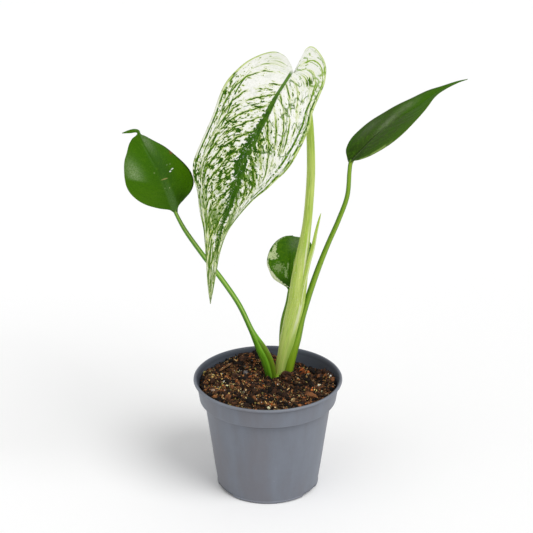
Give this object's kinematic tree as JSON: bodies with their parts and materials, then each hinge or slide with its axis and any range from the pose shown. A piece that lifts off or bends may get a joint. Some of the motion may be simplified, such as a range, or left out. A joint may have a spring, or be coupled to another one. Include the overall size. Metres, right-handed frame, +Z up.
{
  "type": "potted foliage plant",
  "caption": "Young variegated climbing foliage plant with heart-shaped blades on upright stalks, rooted in a filled round grey nursery pot with a stepped collar.",
  "frame": {"origin": "centre of the pot's underside, on the plane the pot stands on", "axes": "+Z up along the pot's axis, +X to the side where the long raised leaf points, the large variegated blade hangs towards -Y"},
  "size_m": [0.2672, 0.1244, 0.3653],
  "materials": {
    "pot_plastic": "matte slate-grey polypropylene",
    "potting_mix": "coarse dark brown bark and peat",
    "pale_stem": "smooth pale yellow-green, finely streaked",
    "green_stem": "smooth bright green",
    "variegated_leaf": "cream ground with green veining, soft sheen",
    "green_leaf": "deep green, soft waxy gloss",
    "bark": "rough reddish-brown bark",
    "perlite": "dull off-white porous grain"
  },
  "bodies": {
    "root": {"pot": "pot_plastic", "potting_mix": "potting_mix", "stem_crown": "green_stem", "main_petiole": "pale_stem", "new_leaf_spear": "pale_stem", "small_petiole": "green_stem", "left_petiole": "green_stem", "right_petiole": "green_stem", "main_leaf_blade": "variegated_leaf", "left_leaf_blade": "green_leaf", "right_leaf_blade": "green_leaf", "small_leaf_blade": "green_leaf", "bark_1": "bark", "bark_2": "bark", "bark_3": "bark", "bark_4": "bark", "bark_5": "bark", "bark_6": "bark", "bark_7": "bark", "perlite_1": "perlite", "perlite_2": "perlite", "perlite_3": "perlite", "perlite_4": "perlite", "perlite_5": "perlite", "perlite_6": "perlite", "stick": "bark"}
  },
  "joints": []
}
